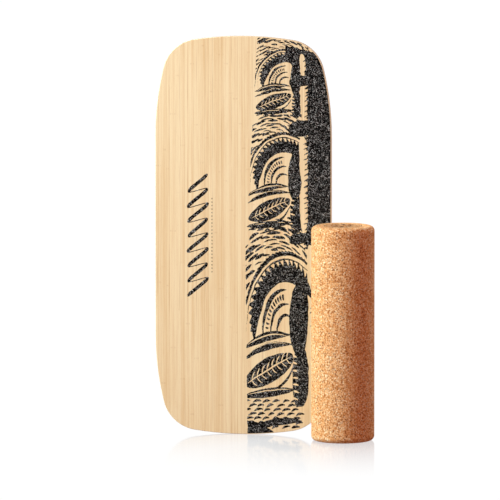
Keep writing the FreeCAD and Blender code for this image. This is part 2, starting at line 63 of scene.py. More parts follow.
class Graph:
    """One node material, written as short calls. Values are numbers, tuples or other nodes' outputs."""

    def __init__(self, name):
        self.material = bpy.data.materials.new(name)
        self.material.use_nodes = True
        self.nodes, self.links = self.material.node_tree.nodes, self.material.node_tree.links
        self.shader = self.nodes["Principled BSDF"]
        self.place = self.make("TexCoord").outputs["Object"]

    def make(self, kind, settings=None, **inputs):
        """A node of this kind, with its settings and with values for its inputs."""
        node = self.nodes.new("ShaderNode" + kind)
        for name, value in (settings or {}).items():
            setattr(node, name, value)
        for name, value in inputs.items():
            self.feed(node.inputs[name.replace("_", " ")], value)
        return node

    def feed(self, socket, value):
        if isinstance(value, bpy.types.NodeSocket):
            self.links.new(value, socket)
        elif socket.type == "RGBA":
            socket.default_value = (*value, 1.0)
        else:
            socket.default_value = value

    def math(self, operation, *values):
        node = self.make("Math", {"operation": operation})
        for socket, value in zip(node.inputs, values):
            self.feed(socket, value)
        return node.outputs[0]

    def split(self):
        """The object coordinates, one by one."""
        return self.make("SeparateXYZ", Vector=self.place).outputs

    def mapped(self, size, seed):
        """Object coordinates counted in features of this size, moved by a seed."""
        scale = tuple(1 / s for s in size) if isinstance(size, tuple) else (1 / size,) * 3
        shift = (seed, 1.7 * seed, 0.6 * seed)
        return self.make("Mapping", Vector=self.place, Scale=scale, Location=shift).outputs[0]

    def noise(self, size, seed=0.0, detail=2.0, roughness=0.5, distortion=0.0):
        """Noise about 0 to 1, with features of this size in metres, one number or one per axis."""
        return self.make("TexNoise", Vector=self.mapped(size, seed), Scale=1.0, Detail=detail,
                         Roughness=roughness, Distortion=distortion).outputs["Fac"]

    def cells(self, size, seed=0.0, feature="F1", randomness=1.0):
        """Random cells of about this size."""
        return self.make("TexVoronoi", {"feature": feature}, Vector=self.mapped(size, seed), Scale=1.0,
                         Randomness=randomness).outputs

    def strips(self, along, size, seed=0.0, feature="F1"):
        """Random strips about this wide, across one coordinate."""
        turn = self.math("ADD", self.math("DIVIDE", along, size), seed)
        settings = {"feature": feature, "voronoi_dimensions": "1D"}
        return self.make("TexVoronoi", settings, W=turn, Scale=1.0, Randomness=0.8).outputs

    def channels(self, cells):
        """Three random numbers from 0 to 1 for each cell or strip."""
        return self.make("SeparateColor", Color=cells["Color"]).outputs

    def total(self, start, *terms):
        """The sum of a start and of (value, weight) terms."""
        for value, weight in terms:
            start = self.math("MULTIPLY_ADD", value, weight, start)
        return start

    def most(self, *marks):
        """The strongest of (value, weight) marks."""
        strongest = 0.0
        for value, weight in marks:
            strongest = self.math("MAXIMUM", strongest, self.math("MULTIPLY", value, weight))
        return strongest

    def step(self, value, start, stop, low=0.0, high=1.0):
        """Low up to start, high from stop, and smooth between them."""
        node = self.make("MapRange", {"interpolation_type": "SMOOTHSTEP"}, Value=value)
        for name, number in (("From Min", start), ("From Max", stop), ("To Min", low), ("To Max", high)):
            self.feed(node.inputs[name], number)
        return node.outputs["Result"]

    def ramp(self, value, *stops):
        """A colour from (position, colour) stops."""
        node = self.make("ValToRGB", Fac=value)
        elements = node.color_ramp.elements
        while len(elements) < len(stops):
            elements.new(0.5)
        for element, (position, colour) in zip(elements, stops):
            element.position, element.color = position, (*colour, 1.0)
        return node.outputs["Color"]

    def mix(self, share, low, high, blend="MIX"):
        node = self.make("MixRGB", {"blend_type": blend})
        for name, value in (("Fac", share), ("Color1", low), ("Color2", high)):
            self.feed(node.inputs[name], value)
        return node.outputs["Color"]

    def scaled(self, colour, factor):
        """A colour made lighter or darker by a factor."""
        grey = self.make("CombineColor", Red=factor, Green=factor, Blue=factor).outputs[0]
        return self.mix(1.0, colour, grey, "MULTIPLY")

    def bump(self, height, distance, strength):
        """A normal that follows a height, which is counted in this distance."""
        return self.make("Bump", Height=height, Distance=distance, Strength=strength).outputs["Normal"]

    def finish(self, colour, roughness, normal, **sockets):
        self.feed(self.shader.inputs["Base Color"], colour)
        self.feed(self.shader.inputs["Roughness"], roughness)
        self.feed(self.shader.inputs["Normal"], normal)
        for name, value in sockets.items():
            self.feed(self.shader.inputs[name.replace("_", " ")], value)
        return self.material


def bamboo(name, seed, light, dark, wear):
    """Narrow bamboo strips along Z: tone per strip, glue lines, fibres, brown lines and nodes."""
    g = Graph(name)
    x, _, z = g.split()
    wide, narrow, node_pitch = 9.5 * MM, 2.7 * MM, 235 * MM
    tone = g.channels(g.strips(x, wide, seed))
    fine = g.channels(g.strips(x, narrow, seed + 4.7))
    glue = g.step(g.strips(x, wide, seed, "DISTANCE_TO_EDGE")["Distance"], 0.0, 0.05, 1.0, 0.0)
    glue = g.math("MULTIPLY", glue, g.step(g.noise((12 * MM, 1.0, 0.16), seed), 0.42, 0.62))
    streaks = g.noise((1.7 * MM, 0.05, 0.13), seed, 4.0, 0.7)
    bands = g.noise((8 * MM, 0.05, 0.30), seed + 8, 2.0, 0.6)
    fibres = g.noise((0.55 * MM, 0.55 * MM, 34 * MM), seed + 2, 3.0, 0.65)
    pores = g.step(g.noise((0.34 * MM, 0.34 * MM, 5 * MM), seed + 5, 1.0), 0.62, 0.76)
    cloud = g.noise((0.11, 0.11, 0.30), seed + 1, 2.0)
    # The nodes of the canes are at other heights in each strip
    turn = g.math("FRACT", g.math("ADD", g.math("DIVIDE", z, node_pitch), g.math("MULTIPLY", tone[0], 7.0)))
    node = g.step(g.math("ABSOLUTE", g.math("SUBTRACT", turn, 0.5)), 0.002, 0.011, 1.0, 0.0)
    node = g.math("MULTIPLY", node, g.step(g.noise((2.0 * MM, 0.1, 0.02), seed + 6), 0.40, 0.62))
    # Long brown lines, each a part of the length
    line = g.step(g.strips(x, 2 * wide, seed + 1.3, "DISTANCE_TO_EDGE")["Distance"], 0.0, 0.070, 1.0, 0.0)
    line = g.math("MULTIPLY", line, g.step(g.noise((30 * MM, 1.0, 0.14), seed + 3, 3.0), 0.46, 0.64))

    share = g.total(-0.50, (tone[1], 0.18), (fine[0], 0.22), (streaks, 0.90), (bands, 0.45), (fibres, 0.55),
                    (cloud, 0.45))
    colour = g.mix(g.step(share, 0.52, 1.22), light, dark)
    brown = (0.60 * dark[0], 0.44 * dark[1], 0.30 * dark[2])
    marks = g.most((glue, 0.26), (line, 0.36), (node, 0.20), (pores, 0.20))
    colour = g.mix(marks, colour, brown)
    scuff = g.step(g.noise((0.05, 0.05, 0.07), seed + 9, 4.0, 0.7), 0.52, 0.75)
    scratch = g.step(g.noise((0.5 * MM, 0.03, 0.12), seed + 11, 2.0, 0.6, 0.6), 0.66, 0.72)
    rub = g.math("MULTIPLY", g.math("MULTIPLY", scuff, scratch), wear)
    colour = g.mix(rub, colour, tuple(0.6 * c for c in dark))
    roughness = g.total(0.34, (rub, 0.2), (fibres, 0.16))
    normal = g.bump(g.math("SUBTRACT", fibres, marks), 0.06 * MM, 0.5)
    return g.finish(colour, roughness, normal, Coat_Weight=0.12, Coat_Roughness=0.22, IOR=1.48)


def maple(name, seed, light, dark, long_way):
    """A core ply, seen on the deck's edge: cut across or along its fibres."""
    g = Graph(name)
    size = (0.5 * MM, 0.5 * MM, 16 * MM) if long_way else (16 * MM, 0.5 * MM, 0.5 * MM)
    fibres = g.noise(size, seed, 3.0, 0.6)
    pores = g.step(g.cells(0.42 * MM, seed)["Distance"], 0.12, 0.30, 1.0, 0.0)
    cloud = g.noise(0.03, seed + 2)
    share = g.math("MULTIPLY_ADD", g.math("SUBTRACT", cloud, 0.5), 0.8, fibres)
    colour = g.mix(g.step(share, 0.25, 0.8), light, dark)
    colour = g.mix(g.math("MULTIPLY", pores, 0.45), colour, tuple(0.5 * c for c in dark))
    normal = g.bump(g.math("SUBTRACT", fibres, pores), 0.05 * MM, 0.6)
    return g.finish(colour, g.step(fibres, 0.2, 0.8, 0.42, 0.6), normal)


def beech(name):
    """The stop rails: pinkish wood with its grain and short flecks along X."""
    g = Graph(name)
    rings = g.noise((0.13, 4 * MM, 5 * MM), 3.0, 3.0, 0.55, 0.6)
    fibres = g.noise((18 * MM, 0.4 * MM, 0.4 * MM), 5.0, 2.0, 0.6)
    flecks = g.step(g.noise((2.6 * MM, 0.5 * MM, 0.45 * MM), 8.0, 1.0), 0.60, 0.70)
    colour = g.ramp(rings, (0.25, (0.62, 0.36, 0.19)), (0.55, (0.52, 0.28, 0.14)), (0.8, (0.44, 0.22, 0.10)))
    colour = g.mix(g.math("MULTIPLY", flecks, 0.6), colour, (0.27, 0.12, 0.05))
    colour = g.scaled(colour, g.step(fibres, 0.2, 0.8, 0.85, 1.12))
    normal = g.bump(g.math("SUBTRACT", fibres, flecks), 0.08 * MM, 0.6)
    roughness = g.step(fibres, 0.3, 0.7, 0.38, 0.52)
    return g.finish(colour, roughness, normal, Coat_Weight=0.08, Coat_Roughness=0.3)


def rubber(name):
    """Black rubber strip with a fine moulded grain and dust in it."""
    g = Graph(name)
    grain = g.cells(0.55 * MM, 2.0)["Distance"]
    dust = g.step(g.noise(9 * MM, 4.0, 4.0, 0.7), 0.50, 0.75)
    colour = g.mix(g.math("MULTIPLY", dust, 0.5), (0.022, 0.021, 0.020), (0.095, 0.085, 0.075))
    normal = g.bump(grain, 0.15 * MM, 0.7)
    return g.finish(colour, g.step(dust, 0.0, 1.0, 0.58, 0.8), normal)


def zinc(name):
    """Zinc-plated screws with a faint yellowish tarnish."""
    g = Graph(name)
    tarnish = g.noise(2.2 * MM, 1.0, 3.0, 0.6)
    brush = g.noise((0.15 * MM, 2 * MM, 1.5 * MM), 6.0, 2.0, 0.6)
    colour = g.ramp(tarnish, (0.3, (0.62, 0.62, 0.60)), (0.6, (0.50, 0.48, 0.43)), (0.8, (0.36, 0.33, 0.28)))
    normal = g.bump(brush, 0.02 * MM, 0.5)
    return g.finish(colour, g.step(brush, 0.2, 0.8, 0.25, 0.45), normal, Metallic=1.0)


def grit(name):
    """Black mineral grit in resin: loose grains, grey patches that are partly lighter grains and partly
    painted sparkle, and painted glints.
    """
    g = Graph(name)
    grains = g.cells(0.95 * MM, 1.0)
    tone = g.channels(grains)
    clusters = g.channels(g.cells(1.9 * MM, 4.0))
    clumps = g.noise(2.0 * MM, 3.0, 3.0, 0.75)
    cloud = g.noise(0.035, 5.0, 2.0)
    share = g.total(0.0, (clusters[0], 0.40), (clumps, 0.40), (tone[0], 0.34), (cloud, 0.10))
    # The greyest part of the ramp is partly the grit's lighter grains and partly painted sparkle
    colour = g.ramp(share, (0.55, (0.0008, 0.001, 0.001)), (0.70, (0.009, 0.010, 0.010)),
                    (0.80, (0.070, 0.077, 0.075)), (0.90, (0.50, 0.535, 0.525)))
    # Painted glints: light grey spots that stand in for grains catching the light, a painted highlight
    painted_glint = g.math("MULTIPLY", g.step(tone[1], 0.92, 0.97), g.step(clumps, 0.42, 0.58))
    colour = g.mix(g.math("MULTIPLY", painted_glint, 0.8), colour, (0.50, 0.48, 0.44))
    height = g.math("MULTIPLY_ADD", tone[2], 0.6, g.math("SUBTRACT", clumps, grains["Distance"]))
    normal = g.bump(height, 0.5 * MM, 0.9)
    return g.finish(colour, g.step(painted_glint, 0.0, 1.0, 0.75, 0.35), normal, Specular_IOR_Level=0.0)


def cork(name):
    """Pressed cork: granules of two sizes, dark bark specks, painted shade in the pits, and the burnt stamp.
    """
    g = Graph(name)
    pit, burn = (g.make("Attribute", {"attribute_name": layer}).outputs["Fac"] for layer in ("pit", "burn"))
    granule = 3.2 * MM
    granules = g.cells(granule, 2.0, "F1", 0.8)
    small = g.cells(1.7 * MM, 7.0)
    tone, fleck = g.channels(granules), g.channels(small)
    grain = g.noise(0.8 * MM, 4.0, 3.0, 0.65)
    # The seams between granules are broken up by the grain
    seams = g.step(g.cells(granule, 2.0, "DISTANCE_TO_EDGE", 0.8)["Distance"], 0.0, 0.11, 1.0, 0.0)
    seams = g.math("MULTIPLY", seams, g.step(grain, 0.40, 0.60))
    cloud = g.noise(0.05, 6.0, 2.0, 0.5)
    share = g.total(-0.3758, (tone[0], 0.17), (fleck[0], 0.24), (granules["Distance"], 0.36), (grain, 0.5),
                    (cloud, 0.16))
    colour = g.ramp(share, (0.10, (0.98, 0.92, 0.64)), (0.27, (0.90, 0.590, 0.285)),
                    (0.46, (0.72, 0.322, 0.103)), (0.66, (0.42, 0.146, 0.040)))

    def specks(number, picked, cells, middle):
        """Bark in the middles of a few cells, which are picked by their random number."""
        return g.math("MULTIPLY", g.step(number, *picked), g.step(cells["Distance"], *middle, 1.0, 0.0))

    # Dark bark specks, and painted shade in the pits: the pit layer darkens the colour where the wall is
    # dented in
    dark = g.most((specks(fleck[1], (0.84, 0.88), small, (0.42, 0.58)), 1.0),
                  (specks(tone[1], (0.87, 0.90), granules, (0.34, 0.50)), 1.0), (pit, 0.9))
    for mark, weight, tint in ((seams, 0.55, (0.32, 0.11, 0.028)), (dark, 0.92, (0.230, 0.042, 0.002)),
                               (burn, 0.92, (0.040, 0.024, 0.016))):
        colour = g.mix(g.math("MULTIPLY", mark, weight), colour, tint)
    height = g.math("SUBTRACT", g.math("MULTIPLY_ADD", grain, 0.5, tone[2]), g.math("ADD", seams, dark))
    normal = g.bump(height, 0.35 * MM, 0.55)
    return g.finish(colour, g.step(share, 0.0, 1.0, 0.55, 0.8), normal, Specular_IOR_Level=0.0)


# ---------------------------------------------------------------- Meshes


def add_object(name, vertices, faces, smooth=True):
    """A mesh object from arrays of places and of faces that all have the same number of corners."""
    mesh = bpy.data.meshes.new(name)
    vertices, faces = np.asarray(vertices, np.float32), np.asarray(faces, np.int32)
    mesh.vertices.add(len(vertices))
    mesh.vertices.foreach_set("co", vertices.ravel())
    mesh.loops.add(faces.size)
    mesh.loops.foreach_set("vertex_index", faces.ravel())
    mesh.polygons.add(len(faces))
    mesh.polygons.foreach_set("loop_start", np.arange(0, faces.size, faces.shape[1], dtype=np.int32))
    mesh.polygons.foreach_set("use_smooth", np.broadcast_to(smooth, len(faces)))
    mesh.update(calc_edges=True)
    mesh.validate()
    piece = bpy.data.objects.new(name, mesh)
    bpy.context.scene.collection.objects.link(piece)
    return piece


# ---------------------------------------------------------------- The print

# The print's underside is this far in front of the wood, its grit is this thick at most, and its
# pattern is a grid of cells of this size
GROUND, GRIT_RISE, PRINT_CELL = 0.02 * MM, 0.45 * MM, 0.95 * MM
# How fast the grit gets thicker away from its outline, and how uneven it is, as a share
EDGE_SLOPE, UNEVEN = 0.16, 0.20
# A place on a piece's outline that lies deeper than this in the whole print is on a cut
CUT_DEPTH = 0.01 * MM
# The depth where nothing is printed
BARE = -1.0
# Large whole numbers that scatter the numbers of a lattice
SCATTER = (73856093, 19349663, 83492791)


def lattice(*indices):
    """A fixed random number from -1 to 1 for each set of whole numbers."""
    key = sum(index * factor for index, factor in zip(indices, SCATTER))
    key = ((key ^ (key >> 13)) * 1274126177) & 0xFFFFFFFF
    return ((key ^ (key >> 16)) & 0xFFFF) / 32767.5 - 1.0


def value_noise(x, y, cell, seed):
    """Smooth noise from -1 to 1 over a plane, with features about one cell wide."""
    u, v = x / cell, y / cell
    i, j = np.floor(u).astype(np.int64), np.floor(v).astype(np.int64)
    fu, fv = u - i, v - j
    fu, fv = fu * fu * (3 - 2 * fu), fv * fv * (3 - 2 * fv)
    low = lattice(i, j, seed) * (1 - fu) + lattice(i + 1, j, seed) * fu
    high = lattice(i, j + 1, seed) * (1 - fu) + lattice(i + 1, j + 1, seed) * fu
    return low * (1 - fv) + high * fv


def left_of(x, z, start, stop):
    """How far places lie to the left of the line from start to stop."""
    run, rise = stop[0] - start[0], stop[1] - start[1]
    return ((z - start[1]) * run - (x - start[0]) * rise) / math.dist(start, stop)


class Ink:
    """A print over a grid of points: depth is positive where there is grit, in metres.

    Strokes are given in a motif's own units, counted from its middle. Their edges wander a
    little, as if cut in wood.
    """

    def __init__(self, xs, zs):
        self.xs, self.zs = xs, zs
        x, z = np.meshgrid(xs, zs, indexing="ij")
        wide, fine = 0.9 * MM, 0.45 * MM
        self.x = x + wide * value_noise(x, z, 11 * MM, 3) + fine * value_noise(x, z, 3.0 * MM, 4)
        self.z = z + wide * value_noise(x, z, 12 * MM, 5) + fine * value_noise(x, z, 2.8 * MM, 6)
        self.depth = np.full(x.shape, BARE)
        self.set_motif((0.0, 0.0), (1.0, 1.0))

    def set_motif(self, middle, unit):
        self.middle, self.unit = middle, unit
        self.pen = math.sqrt(unit[0] * unit[1])

    def place(self, point):
        return tuple(m + u * p for m, u, p in zip(self.middle, self.unit, point))

    def near(self, points, reach):
        """The block of the grid within reach of these points, with room for the edges' wander."""
        reach += 3 * MM
        xs, zs = zip(*points)
        columns = slice(*np.searchsorted(self.xs, (min(xs) - reach, max(xs) + reach)))
        rows = slice(*np.searchsorted(self.zs, (min(zs) - reach, max(zs) + reach)))
        return columns, rows

    def merge(self, block, inside, cut=False):
        """Add a shape to the print, or cut it out."""
        old = self.depth[block]
        self.depth[block] = np.minimum(old, -inside) if cut else np.maximum(old, inside)

    def bowed(self, start, stop, reach):
        """The block near a line, each point's place along and across it, and a bow over it."""
        a, b = self.place(start), self.place(stop)
        block = self.near((a, b), reach)
        half = math.dist(a, b) / 2
        ux, uz = (b[0] - a[0]) / (2 * half), (b[1] - a[1]) / (2 * half)
        rx = self.x[block] - (a[0] + b[0]) / 2
        rz = self.z[block] - (a[1] + b[1]) / 2
        along, across = (rx * ux + rz * uz) / half, rz * ux - rx * uz
        return block, np.abs(along) < 1, across, np.clip(1 - along**2, 0, None)

    def leaf(self, start, stop, left, right, cut=False, blunt=1.0):
        """A leaf between two tips that bulges by left and right of the line between them."""
        left, right = left * self.pen, right * self.pen
        block, beside, across, bow = self.bowed(start, stop, abs(left) + abs(right))
        bow = bow**blunt
        inside = np.minimum(left * bow - across, across + right * bow)
        self.merge(block, np.where(beside, inside, BARE), cut)

    def stroke(self, start, stop, sag, width, cut=False):
        """A brush stroke between two blunt tips, bowed by sag and thickest in its middle."""
        sag, width = sag * self.pen, width * self.pen
        block, beside, across, bow = self.bowed(start, stop, abs(sag) + width)
        inside = width / 2 * bow**0.6 - np.abs(across - sag * bow)
        self.merge(block, np.where(beside, inside, BARE), cut)

    def arch(self, middle, radius, width, begin, end, teeth=0, tooth=0.0, taper=0.2):
        """A band along an arc from begin to end, in degrees, with teeth on its outer side."""
        c = self.place(middle)
        reach = (radius + width + tooth) * max(self.unit)
        block = self.near((c,), reach)
        u, v = (self.x[block] - c[0]) / self.unit[0], (self.z[block] - c[1]) / self.unit[1]
        rho = np.hypot(u, v)
        share = ((np.degrees(np.arctan2(v, u)) - begin) % 360) / ((end - begin) % 360)
        thin = np.clip(np.minimum(share, 1 - share) / taper, 0, 1) ** 0.6
        saw = tooth * (share * teeth % 1.0) if teeth else 0.0
        inside = np.minimum(radius + (width / 2 + saw) * thin - rho, rho - radius + width / 2 * thin)
        self.merge(block, np.where(share <= 1, inside * self.pen, BARE))

    def patch(self, *corners):
        """A block with straight sides, its corners in anticlockwise order."""
        places = [self.place(corner) for corner in corners]
        block = self.near(places, 0.0)
        x, z = self.x[block], self.z[block]
        sides = [left_of(x, z, a, b) for a, b in zip(places, places[1:] + places[:1])]
        self.merge(block, np.min(sides, axis=0))


def on_arc(middle, radius, turn):
    """The place on an arc about a middle, its turn in radians."""
    return middle[0] + radius * math.cos(turn), middle[1] + radius * math.sin(turn)


def hatch(ink, rng, middle, radii, begin, end, columns, width, skip):
    """Rows of short strokes along arcs, like cut marks that follow a swell, with a share left out."""
    step = (end - begin) / columns
    for row, radius in enumerate(radii):
        for column in range(columns):
            if rng.random() < skip:
                continue
            first = begin + step * (column + 0.5 * (row % 2) + rng.uniform(-0.15, 0.15))
            angles = np.radians((first, first + step * rng.uniform(0.8, 1.5)))
            lifts = radius + np.array((-0.030, 0.045)) + rng.uniform(-0.015, 0.015, 2)
            start, stop = [on_arc(middle, lift, angle) for lift, angle in zip(lifts, angles)]
            ink.stroke(start, stop, rng.uniform(-0.03, 0.0), width * rng.uniform(0.6, 1.4))


def motif(ink, rng, rows, ripples):
    """A breaking swell: hatching, a saw-edged crest, nested arcs, dark swells, a leaf and ripples."""
    heart = (0.24, -0.18)
    # Hatching above a dark contour and a thin one
    hatch(ink, rng, heart, np.linspace(1.40, 1.40 + 0.092 * (rows - 1), rows), 40, 174, 13, 0.054, 0.04)
    ink.arch(heart, 1.30, 0.070, 40, 186, teeth=34, tooth=0.03, taper=0.4)
    ink.arch(heart, 1.205, 0.030, 46, 184, taper=0.4)
    # The saw-edged crest, and the dark mass that it runs into
    ink.arch(heart, 0.96, 0.27, 36, 188, teeth=21, tooth=0.13)
    ink.patch((0.52, 0.36), (0.86, -0.10), (0.86, 0.62), (0.52, 0.90))
    ink.leaf((0.72, 0.70), (0.66, -0.62), 0.17, 0.26, blunt=0.5)
    # Nested arcs and ribs in the hollow of the swell
    ink.arch(heart, 0.70, 0.11, 88, 190, taper=0.5)
    ink.arch(heart, 0.46, 0.085, 78, 194, taper=0.5)
    ink.arch(heart, 0.27, 0.080, 60, 200, taper=0.5)
    for k in range(12):
        turn = math.radians(98 + 7.6 * k)
        ink.stroke(on_arc(heart, 0.52, turn), on_arc(heart, 0.63, turn), 0.012, 0.042)
    # Long swells with light crests
    ink.leaf((-1.08, -0.50), (0.44, -0.24), 0.23, -0.02)
    ink.stroke((-0.98, -0.44), (0.32, -0.26), 0.13, 0.030, cut=True)
    ink.leaf((-1.10, -0.70), (0.50, -0.40), 0.23, -0.07)
    ink.stroke((-0.94, -0.60), (0.36, -0.40), 0.15, 0.018, cut=True)
    # A dark leaf with light veins, and its contour
    ink.leaf((-1.02, -1.10), (0.46, -0.58), 0.27, 0.27, blunt=0.6)
    ink.stroke((-0.96, -1.07), (0.40, -0.60), 0.02, 0.034, cut=True)
    for k in range(8):
        x, z = -0.80 + 0.15 * k, -1.01 + 0.053 * k
        ink.stroke((x, z), (x + 0.10, z + 0.16), 0.02, 0.024, cut=True)
        ink.stroke((x, z), (x + 0.18, z - 0.09), -0.02, 0.024, cut=True)
    ink.stroke((-0.72, -1.22), (0.52, -0.66), -0.24, 0.055)
    # A dark post, nicked by light cuts
    ink.leaf((0.68, -0.46), (0.66, -1.44), 0.19, 0.17, blunt=0.3)
    for k in range(7):
        z = -0.58 - 0.12 * k
        left = (0.44, z + rng.uniform(-0.02, 0.02))
        right = (0.44 + rng.uniform(0.10, 0.22), z - 0.03)
        ink.leaf(left, right, 0.022, 0.022, cut=True)
    # Ripples, and rows of short waves under them
    ink.leaf((-1.10, -1.29), (0.52, -1.16), 0.12, 0.09, blunt=0.7)
    ink.stroke((-0.98, -1.255), (0.46, -1.155), 0.04, 0.024, cut=True)
    for row in range(ripples):
        z = -1.385 - 0.072 * row
        for k in range(6):
            x = -1.04 + 0.29 * k + 0.13 * (row % 2) + rng.uniform(-0.03, 0.03)
            ink.stroke((x, z), (x + rng.uniform(0.20, 0.29), z + 0.035), 0.03, 0.056)


# The motifs' middles from the deck's middle, their units across and along, and how many rows of
# hatching and of ripples they have
MOTIFS = (
    ((0.074, 0.314), (0.048, 0.053), 8, 1),
    ((0.068, 0.118), (0.056, 0.078), 6, 1),
    ((0.070, -0.170), (0.066, 0.120), 6, 7),
)
# The left border's places across and along
BORDER = ((0.008, -0.400), (0.004, -0.030), (0.028, 0.400))
# Dark bridges over the light channel beside the band: where each starts and stops along the deck
BRIDGES = ((0.300, 0.322), (0.200, 0.232), (-0.016, 0.006))
# Light slivers in that channel: start and stop along the deck, then place and width across it
SLIVERS = (
    (0.322, 0.366, 0.118, 0.011),
    (0.232, 0.300, 0.120, 0.013),
    (0.104, 0.200, 0.119, 0.015),
    (0.006, 0.100, 0.120, 0.015),
    (-0.100, -0.016, 0.134, 0.013),
)


def band(ink, rng):
    """The solid band along the right edge, cut off at a slant above, and what joins it."""
    ink.patch((0.130, -0.040), (0.20, -0.040), (0.20, 0.352), (0.128, 0.372))
    ink.patch((0.108, 0.330), (0.130, 0.322), (0.130, 0.3715), (0.084, 0.3820), (0.084, 0.360))
    ink.patch((0.147, -0.366), (0.20, -0.366), (0.20, -0.030), (0.134, -0.030))
    for start, stop in BRIDGES:
        middle, half = (start + stop) / 2, (stop - start) / 2
        ink.leaf((0.092, middle - 0.003), (0.140, middle + 0.004), half, half, blunt=0.3)
    # A dark foot in the corner low on the left
    ink.leaf((-0.012, -0.374), (0.066, -0.404), 0.012, 0.020, blunt=0.6)
    ink.leaf((0.030, -0.382), (0.118, -0.372), 0.010, 0.004, blunt=0.7)
    # The ragged left edge
    for z in np.arange(-0.350, 0.330, 0.0125):
        x = 0.130 if z > -0.035 else 0.144
        reach = rng.uniform(0.004, 0.011)
        ink.leaf((x + 0.006, z + 0.004), (x - reach, z - rng.uniform(0.0, 0.008)), 0.0022, 0.0022)


def slivers(ink, rng):
    """Light slivers between the motifs and the band, nicked by small dark teeth."""
    for start, stop, x, width in SLIVERS:
        ink.leaf((x + 0.001, start), (x - 0.002, stop), 0.4 * width, 0.6 * width, cut=True, blunt=0.4)
        for z in np.arange(start + 0.012, stop - 0.008, 0.0105):
            ink.leaf((x + 0.8 * width, z), (x + rng.uniform(0.0, 0.3) * width, z - 0.006), 0.0012, 0.0012)


def grip_pattern(xs, zs):
    """The print's depth, its places counted from the deck's middle, before it is trimmed."""
    rng = np.random.default_rng(11)
    ink = Ink(xs, zs)
    for middle, unit, rows, ripples in MOTIFS:
        ink.set_motif(middle, unit)
        motif(ink, rng, rows, ripples)
    ink.set_motif((0.0, 0.0), (1.0, 1.0))
    band(ink, rng)
    slivers(ink, rng)
    across, along = zip(*BORDER)
    return np.minimum(ink.depth, ink.x - np.interp(ink.z, along, across))


def cell_loops(pattern):
    """The outlines of the inside of a cell whose four corners are inside or out as in pattern."""
    corners = [k for k in range(4) if pattern >> k & 1]
    if pattern in (0b0101, 0b1010):
        return [[(2 * k - 1) % 8, 2 * k, 2 * k + 1] for k in corners]
    loop = []
    for k in range(4):
        here, following = pattern >> k & 1, pattern >> (k + 1) % 4 & 1
        loop += [2 * k] * here + [2 * k + 1] * (here != following)
    return [loop]


CELL_LOOPS = {pattern: cell_loops(pattern) for pattern in range(1, 16)}


def contour(xs, zs, depth):
    """Marching squares: the places and triangles of the part of a grid where depth is positive.

    Also gives each place's depth, which is 0 on the outline.
    """
    inside = depth > 0
    places, depths, faces = [], [], []
    count = 0

    def number(mask, x, z, value):
        nonlocal count
        index = np.full(mask.shape, -1)
        index[mask] = count + np.arange(mask.sum())
        count += int(mask.sum())
        places.append(np.column_stack((x[mask], z[mask])))
        depths.append(value[mask])
        return index

    x, z = np.meshgrid(xs, zs, indexing="ij")
    corner = number(inside, x, z, depth)

    def crossings(step_x, step_z):
        """Places where the outline crosses the grid's lines along one axis."""
        first = (slice(None, -step_x or None), slice(None, -step_z or None))
        second = (slice(step_x, None), slice(step_z, None))
        a, b = depth[first], depth[second]
        crossed = inside[first] != inside[second]
        share = np.where(crossed, a / np.where(crossed, a - b, 1.0), 0.0)
        across = x[first] + share * (x[second] - x[first])
        along = z[first] + share * (z[second] - z[first])
        return number(crossed, across, along, np.zeros_like(a))

    low_edge, side_edge = crossings(1, 0), crossings(0, 1)
    # The eight places round each cell, anticlockwise from its lowest corner
    around = (corner[:-1, :-1], low_edge[:, :-1], corner[1:, :-1], side_edge[1:, :],
              corner[1:, 1:], low_edge[:, 1:], corner[:-1, 1:], side_edge[:-1, :])
    case = sum((around[2 * k] >= 0) * (1 << k) for k in range(4))
    for pattern, loops in CELL_LOOPS.items():
        cells = case == pattern
        for loop in loops:
            corners = [around[k][cells] for k in loop]
            for second, third in zip(corners[1:-1], corners[2:]):
                faces.append(np.column_stack((corners[0], second, third)))
    return np.concatenate(places), np.concatenate(faces), np.concatenate(depths)


def sample(xs, zs, field, places):
    """A field's values between the points of its grid."""
    u = (places[:, 0] - xs[0]) / (xs[1] - xs[0])
    v = (places[:, 1] - zs[0]) / (zs[1] - zs[0])
    i = np.clip(u.astype(int), 0, len(xs) - 2)
    j = np.clip(v.astype(int), 0, len(zs) - 2)
    u, v = u - i, v - j
    low = field[i, j] * (1 - u) + field[i + 1, j] * u
    high = field[i, j + 1] * (1 - u) + field[i + 1, j + 1] * u
    return low * (1 - v) + high * v


